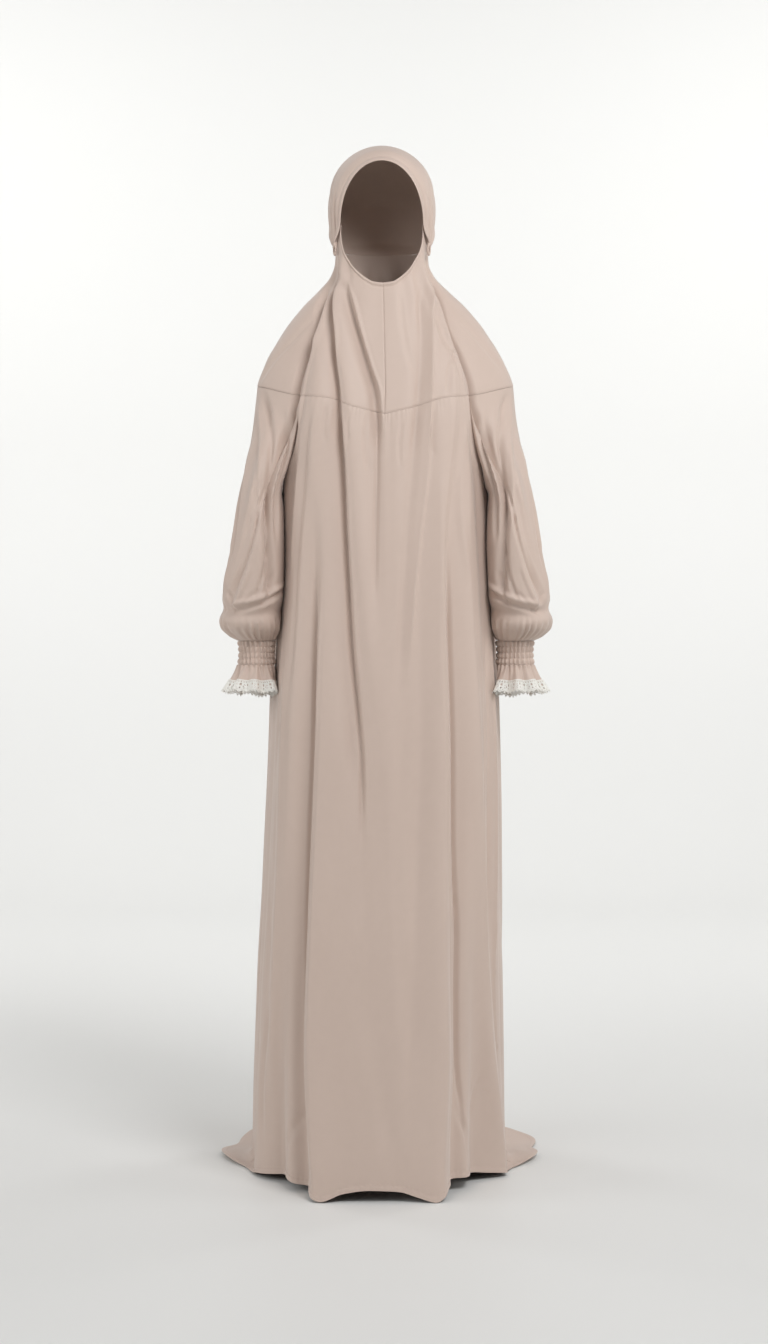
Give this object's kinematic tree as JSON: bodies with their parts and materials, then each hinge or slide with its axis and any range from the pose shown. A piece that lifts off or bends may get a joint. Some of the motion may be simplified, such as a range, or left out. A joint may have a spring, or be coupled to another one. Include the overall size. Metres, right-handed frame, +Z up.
{
  "type": "prayer dress with attached hood",
  "caption": "Long hooded prayer dress in plain crepe, worn and hollow, with a yoke, wide sleeves, shirred cuffs, lace edging and a trailing hem.",
  "frame": {"origin": "inside the top of the hood's crown, where the wearer's head carries the dress", "axes": "+Z up, -Y towards the face opening and the front, +X towards the wearer's left"},
  "size_m": [0.5651, 0.5591, 1.7315],
  "materials": {
    "crepe": "smooth dusty beige-pink crepe with a soft satin sheen",
    "lace": "matt off-white cotton lace"
  },
  "bodies": {
    "root": {"hood": "crepe", "yoke_front_left": "crepe", "yoke_front_right": "crepe", "yoke_back": "crepe", "body_front": "crepe", "body_back": "crepe", "sleeve_left": "crepe", "sleeve_right": "crepe", "cuff_band_left": "crepe", "cuff_band_right": "crepe", "cuff_ruffle_left": "crepe", "cuff_ruffle_right": "crepe", "ear_tie_left": "crepe", "ear_tie_right": "crepe", "cuff_lace_left": "lace", "cuff_lace_right": "lace"}
  },
  "joints": []
}
